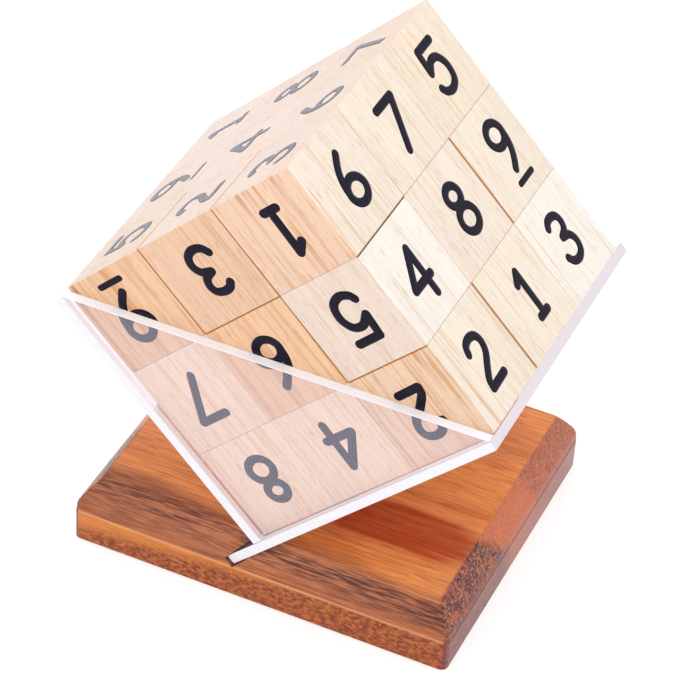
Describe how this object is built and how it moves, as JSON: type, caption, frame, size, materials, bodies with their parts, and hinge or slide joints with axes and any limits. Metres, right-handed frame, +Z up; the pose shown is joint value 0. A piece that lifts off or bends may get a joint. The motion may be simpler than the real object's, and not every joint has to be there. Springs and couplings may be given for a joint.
{
  "type": "sudoku cube puzzle",
  "caption": "Cube puzzle of loose numbered wooden cubes stacked edge down in a clear V-shaped trough on a moulded wooden base block.",
  "frame": {"origin": "centre of the base block's underside", "axes": "+Z up from the table, +X to the right along the block's long front edge, +Y towards the back, so the stack's vertical face with the triangular panel looks towards -Y"},
  "size_m": [0.1326, 0.101, 0.1515],
  "materials": {
    "base_wood": "routed and sanded hardwood with streaky reddish-brown grain under satin lacquer",
    "acrylic": "clear cast sheet with glossy faces and sawn, lightly frosted edges",
    "cube_wood": "pale rubberwood under satin lacquer, numerals printed in black ink"
  },
  "bodies": {
    "stand": {"base_block": "base_wood", "acrylic_floor_wall": "acrylic", "acrylic_side_wall": "acrylic", "acrylic_front_panel": "acrylic", "acrylic_back_panel": "acrylic"},
    "cube_l1_p1_r1": {"cube_l1_p1_r1": "cube_wood"},
    "cube_l2_p1_r1": {"cube_l2_p1_r1": "cube_wood"},
    "cube_l3_p1_r1": {"cube_l3_p1_r1": "cube_wood"},
    "cube_l1_p1_r2": {"cube_l1_p1_r2": "cube_wood"},
    "cube_l2_p1_r2": {"cube_l2_p1_r2": "cube_wood"},
    "cube_l3_p1_r2": {"cube_l3_p1_r2": "cube_wood"},
    "cube_l1_p1_r3": {"cube_l1_p1_r3": "cube_wood"},
    "cube_l2_p1_r3": {"cube_l2_p1_r3": "cube_wood"},
    "cube_l3_p1_r3": {"cube_l3_p1_r3": "cube_wood"},
    "cube_l1_p2_r1": {"cube_l1_p2_r1": "cube_wood"},
    "cube_l2_p2_r1": {"cube_l2_p2_r1": "cube_wood"},
    "cube_l3_p2_r1": {"cube_l3_p2_r1": "cube_wood"},
    "cube_l1_p2_r2": {"cube_l1_p2_r2": "cube_wood"},
    "cube_l2_p2_r2": {"cube_l2_p2_r2": "cube_wood"},
    "cube_l3_p2_r2": {"cube_l3_p2_r2": "cube_wood"},
    "cube_l1_p2_r3": {"cube_l1_p2_r3": "cube_wood"},
    "cube_l2_p2_r3": {"cube_l2_p2_r3": "cube_wood"},
    "cube_l3_p2_r3": {"cube_l3_p2_r3": "cube_wood"},
    "cube_l1_p3_r1": {"cube_l1_p3_r1": "cube_wood"},
    "cube_l2_p3_r1": {"cube_l2_p3_r1": "cube_wood"},
    "cube_l3_p3_r1": {"cube_l3_p3_r1": "cube_wood"},
    "cube_l1_p3_r2": {"cube_l1_p3_r2": "cube_wood"},
    "cube_l2_p3_r2": {"cube_l2_p3_r2": "cube_wood"},
    "cube_l3_p3_r2": {"cube_l3_p3_r2": "cube_wood"},
    "cube_l1_p3_r3": {"cube_l1_p3_r3": "cube_wood"},
    "cube_l2_p3_r3": {"cube_l2_p3_r3": "cube_wood"},
    "cube_l3_p3_r3": {"cube_l3_p3_r3": "cube_wood"}
  },
  "joints": [
    {"name": "lift_l1_p1_r1", "type": "slide", "parent": "stand", "child": "cube_l1_p1_r1", "axis": [-0.7071, 0, 0.7071], "range_m": [0, 0.0954]},
    {"name": "lift_l2_p1_r1", "type": "slide", "parent": "cube_l1_p1_r1", "child": "cube_l2_p1_r1", "axis": [-0.7071, 0, 0.7071], "range_m": [0, 0.0651]},
    {"name": "lift_l3_p1_r1", "type": "slide", "parent": "cube_l2_p1_r1", "child": "cube_l3_p1_r1", "axis": [-0.7071, 0, 0.7071], "range_m": [0, 0.0348]},
    {"name": "lift_l1_p1_r2", "type": "slide", "parent": "stand", "child": "cube_l1_p1_r2", "axis": [-0.7071, 0, 0.7071], "range_m": [0, 0.0954]},
    {"name": "lift_l2_p1_r2", "type": "slide", "parent": "cube_l1_p1_r2", "child": "cube_l2_p1_r2", "axis": [-0.7071, 0, 0.7071], "range_m": [0, 0.0651]},
    {"name": "lift_l3_p1_r2", "type": "slide", "parent": "cube_l2_p1_r2", "child": "cube_l3_p1_r2", "axis": [-0.7071, 0, 0.7071], "range_m": [0, 0.0348]},
    {"name": "lift_l1_p1_r3", "type": "slide", "parent": "stand", "child": "cube_l1_p1_r3", "axis": [-0.7071, 0, 0.7071], "range_m": [0, 0.0954]},
    {"name": "lift_l2_p1_r3", "type": "slide", "parent": "cube_l1_p1_r3", "child": "cube_l2_p1_r3", "axis": [-0.7071, 0, 0.7071], "range_m": [0, 0.0651]},
    {"name": "lift_l3_p1_r3", "type": "slide", "parent": "cube_l2_p1_r3", "child": "cube_l3_p1_r3", "axis": [-0.7071, 0, 0.7071], "range_m": [0, 0.0348]},
    {"name": "lift_l1_p2_r1", "type": "slide", "parent": "stand", "child": "cube_l1_p2_r1", "axis": [-0.7071, 0, 0.7071], "range_m": [0, 0.0954]},
    {"name": "lift_l2_p2_r1", "type": "slide", "parent": "cube_l1_p2_r1", "child": "cube_l2_p2_r1", "axis": [-0.7071, 0, 0.7071], "range_m": [0, 0.0651]},
    {"name": "lift_l3_p2_r1", "type": "slide", "parent": "cube_l2_p2_r1", "child": "cube_l3_p2_r1", "axis": [-0.7071, 0, 0.7071], "range_m": [0, 0.0348]},
    {"name": "lift_l1_p2_r2", "type": "slide", "parent": "stand", "child": "cube_l1_p2_r2", "axis": [-0.7071, 0, 0.7071], "range_m": [0, 0.0954]},
    {"name": "lift_l2_p2_r2", "type": "slide", "parent": "cube_l1_p2_r2", "child": "cube_l2_p2_r2", "axis": [-0.7071, 0, 0.7071], "range_m": [0, 0.0651]},
    {"name": "lift_l3_p2_r2", "type": "slide", "parent": "cube_l2_p2_r2", "child": "cube_l3_p2_r2", "axis": [-0.7071, 0, 0.7071], "range_m": [0, 0.0348]},
    {"name": "lift_l1_p2_r3", "type": "slide", "parent": "stand", "child": "cube_l1_p2_r3", "axis": [-0.7071, 0, 0.7071], "range_m": [0, 0.0954]},
    {"name": "lift_l2_p2_r3", "type": "slide", "parent": "cube_l1_p2_r3", "child": "cube_l2_p2_r3", "axis": [-0.7071, 0, 0.7071], "range_m": [0, 0.0651]},
    {"name": "lift_l3_p2_r3", "type": "slide", "parent": "cube_l2_p2_r3", "child": "cube_l3_p2_r3", "axis": [-0.7071, 0, 0.7071], "range_m": [0, 0.0348]},
    {"name": "lift_l1_p3_r1", "type": "slide", "parent": "stand", "child": "cube_l1_p3_r1", "axis": [-0.7071, 0, 0.7071], "range_m": [0, 0.0954]},
    {"name": "lift_l2_p3_r1", "type": "slide", "parent": "cube_l1_p3_r1", "child": "cube_l2_p3_r1", "axis": [-0.7071, 0, 0.7071], "range_m": [0, 0.0651]},
    {"name": "lift_l3_p3_r1", "type": "slide", "parent": "cube_l2_p3_r1", "child": "cube_l3_p3_r1", "axis": [-0.7071, 0, 0.7071], "range_m": [0, 0.0348]},
    {"name": "lift_l1_p3_r2", "type": "slide", "parent": "stand", "child": "cube_l1_p3_r2", "axis": [-0.7071, 0, 0.7071], "range_m": [0, 0.0954]},
    {"name": "lift_l2_p3_r2", "type": "slide", "parent": "cube_l1_p3_r2", "child": "cube_l2_p3_r2", "axis": [-0.7071, 0, 0.7071], "range_m": [0, 0.0651]},
    {"name": "lift_l3_p3_r2", "type": "slide", "parent": "cube_l2_p3_r2", "child": "cube_l3_p3_r2", "axis": [-0.7071, 0, 0.7071], "range_m": [0, 0.0348]},
    {"name": "lift_l1_p3_r3", "type": "slide", "parent": "stand", "child": "cube_l1_p3_r3", "axis": [-0.7071, 0, 0.7071], "range_m": [0, 0.0954]},
    {"name": "lift_l2_p3_r3", "type": "slide", "parent": "cube_l1_p3_r3", "child": "cube_l2_p3_r3", "axis": [-0.7071, 0, 0.7071], "range_m": [0, 0.0651]},
    {"name": "lift_l3_p3_r3", "type": "slide", "parent": "cube_l2_p3_r3", "child": "cube_l3_p3_r3", "axis": [-0.7071, 0, 0.7071], "range_m": [0, 0.0348]}
  ]
}
